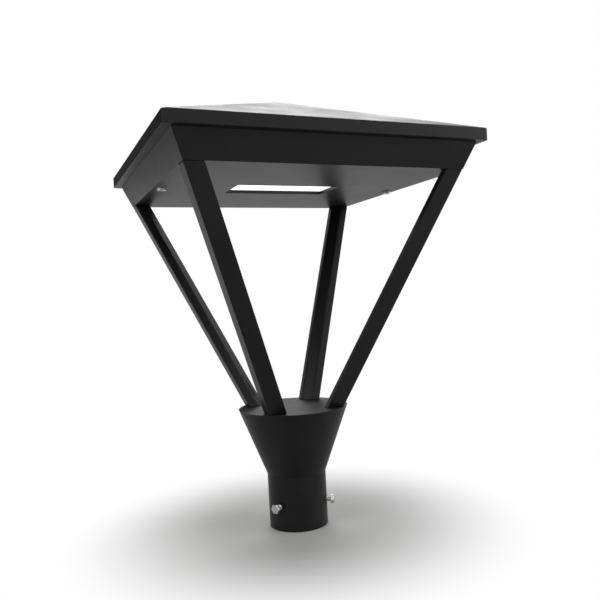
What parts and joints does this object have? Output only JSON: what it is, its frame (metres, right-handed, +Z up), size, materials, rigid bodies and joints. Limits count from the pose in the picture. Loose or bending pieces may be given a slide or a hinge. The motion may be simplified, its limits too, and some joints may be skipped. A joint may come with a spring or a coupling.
{
  "type": "post top lantern",
  "caption": "Square post top lantern: a sloping tray head with a downward light window and hinged pyramid roof, on leaning struts above a cone and post socket.",
  "frame": {"origin": "centre of the post socket's mouth, at the bottom of the neck", "axes": "+Z up along the socket's axis, -Y the front, +X to the right seen from the front"},
  "size_m": [0.44, 0.44, 0.6415],
  "materials": {
    "black_coat": "fine satin powder coat",
    "stainless": "stainless steel",
    "zinc_steel": "zinc plated",
    "nipple_brass": "turned",
    "retainer_steel": "zinc plated sheet",
    "seal_rubber": "silicone seal",
    "opal_glass": "opal, satin inside",
    "mixing_white": "reflective white",
    "board_white": "white lacquer on aluminium",
    "chip_yellow": "phosphor cap",
    "connector_cream": "moulded",
    "pad_grey": "heat conducting",
    "sink_aluminium": "extruded, clear anodised",
    "driver_shell": "moulded",
    "terminal_grey": "moulded",
    "clamp_brass": "turned",
    "cable_sheath": "round sheath",
    "lead_white": "silicone sheath",
    "inlet_black": "moulded",
    "gland_grey": "moulded"
  },
  "bodies": {
    "lantern": {"post_sleeve": "black_coat", "cone": "black_coat", "top_plate": "black_coat", "head_housing": "black_coat", "strut_front_left": "black_coat", "strut_front_right": "black_coat", "strut_rear_left": "black_coat", "strut_rear_right": "black_coat", "plate_screws": "zinc_steel", "foot_nipples": "nipple_brass", "foot_washers": "zinc_steel", "foot_nuts": "zinc_steel", "crown_nipples": "nipple_brass", "crown_washers": "zinc_steel", "crown_nuts": "zinc_steel", "hinge_brackets": "black_coat", "roof_gasket": "seal_rubber", "hinge_pins": "stainless", "hinge_clips": "stainless", "window_gasket": "seal_rubber", "window_glass": "opal_glass", "window_retainer": "retainer_steel", "retainer_screws": "zinc_steel", "light_box": "mixing_white", "lamp_board": "board_white", "lamp_chips": "chip_yellow", "board_connector": "connector_cream", "heat_pad": "pad_grey", "heat_sink": "sink_aluminium", "sink_standoffs": "zinc_steel", "sink_screws": "zinc_steel", "led_driver": "driver_shell", "terminal_block": "terminal_grey", "terminal_clamps": "clamp_brass", "gear_screws": "zinc_steel", "earth_screw": "clamp_brass", "supply_cable": "cable_sheath", "driver_lead": "lead_white", "lamp_lead": "lead_white", "inlet_connector": "inlet_black", "cable_gland": "gland_grey", "inlet_screws": "zinc_steel"},
    "roof": {"roof_panels": "black_coat", "roof_rim": "black_coat", "latch_blocks": "black_coat", "hinge_leaves": "black_coat", "latch_strikes": "stainless", "strike_screws": "stainless"},
    "latch_left": {"latch_stud_left": "stainless", "latch_clip_left": "stainless"},
    "latch_right": {"latch_stud_right": "stainless", "latch_clip_right": "stainless"},
    "clamp_front_left": {"clamp_bolt_front_left": "stainless"},
    "clamp_front_right": {"clamp_bolt_front_right": "stainless"},
    "clamp_rear": {"clamp_bolt_rear": "stainless"}
  },
  "joints": [
    {"name": "roof_hinge", "type": "hinge", "parent": "lantern", "child": "roof", "pos_m": [0, 0.214, 0.539], "axis": [-1, 0, 0], "range_deg": [0, 95]},
    {"name": "latch_left_turn", "type": "hinge", "parent": "lantern", "child": "latch_left", "pos_m": [-0.18199, 0, 0.53], "axis": [0, 0, 1], "range_deg": [0, 90]},
    {"name": "latch_right_turn", "type": "hinge", "parent": "lantern", "child": "latch_right", "pos_m": [0.18199, 0, 0.53], "axis": [0, 0, 1], "range_deg": [0, 90]},
    {"name": "clamp_front_left_turn_in", "type": "slide", "parent": "lantern", "child": "clamp_front_left", "axis": [0.866, 0.5, 0], "range_m": [0, 0.006]},
    {"name": "clamp_front_right_turn_in", "type": "slide", "parent": "lantern", "child": "clamp_front_right", "axis": [-0.866, 0.5, 0], "range_m": [0, 0.006]},
    {"name": "clamp_rear_turn_in", "type": "slide", "parent": "lantern", "child": "clamp_rear", "axis": [0, -1, 0], "range_m": [0, 0.006]}
  ]
}
